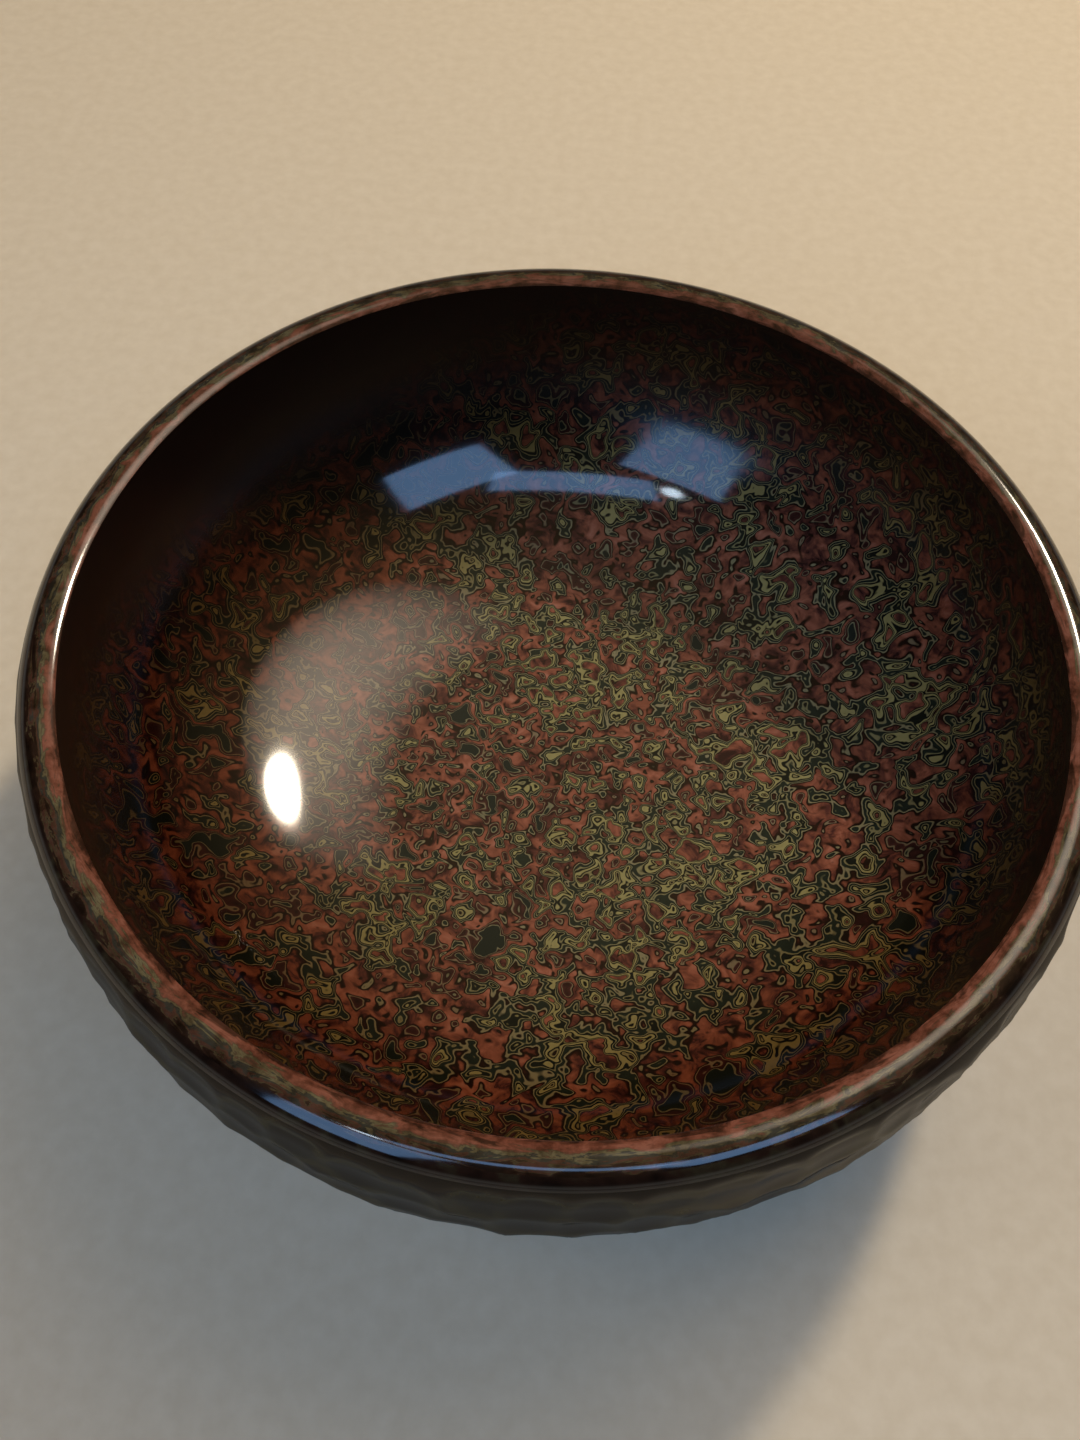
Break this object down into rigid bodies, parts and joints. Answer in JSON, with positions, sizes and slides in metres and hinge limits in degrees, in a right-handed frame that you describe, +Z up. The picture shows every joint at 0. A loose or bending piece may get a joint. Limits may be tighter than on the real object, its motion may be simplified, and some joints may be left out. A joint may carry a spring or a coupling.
{
  "type": "lacquer sweets bowl",
  "caption": "Round turned wooden bowl with a slightly in-curved mouth, round lip and foot ring, cloth-reinforced and lacquered, for serving sweets.",
  "frame": {"origin": "middle of the foot ring, on the surface that the bowl stands on", "axes": "+Z up along the bowl's axis; -Y is the side nearest the picture's camera"},
  "size_m": [0.2504, 0.2504, 0.0913],
  "materials": {
    "wood": "turned, sealed with raw lacquer",
    "hemp": "plain-woven hemp cloth soaked in lacquer",
    "ground": "clay and lacquer ground, rubbed flat",
    "inner_lacquer": "many-coloured lacquer, polished to a high gloss",
    "rim_lacquer": "many-coloured lacquer in streaks, polished to a high gloss",
    "outer_lacquer": "dark brown lacquer over gouge marks, high gloss",
    "black_lacquer": "plain black lacquer, gloss"
  },
  "bodies": {
    "root": {"wood_core": "wood", "rim_cloth": "hemp", "floor_cloth": "hemp", "foot_cloth": "hemp", "inner_ground": "ground", "outer_ground": "ground", "inner_lacquer": "inner_lacquer", "rim_lacquer": "rim_lacquer", "outer_lacquer": "outer_lacquer", "foot_lacquer": "black_lacquer", "well_lacquer": "black_lacquer"}
  },
  "joints": []
}
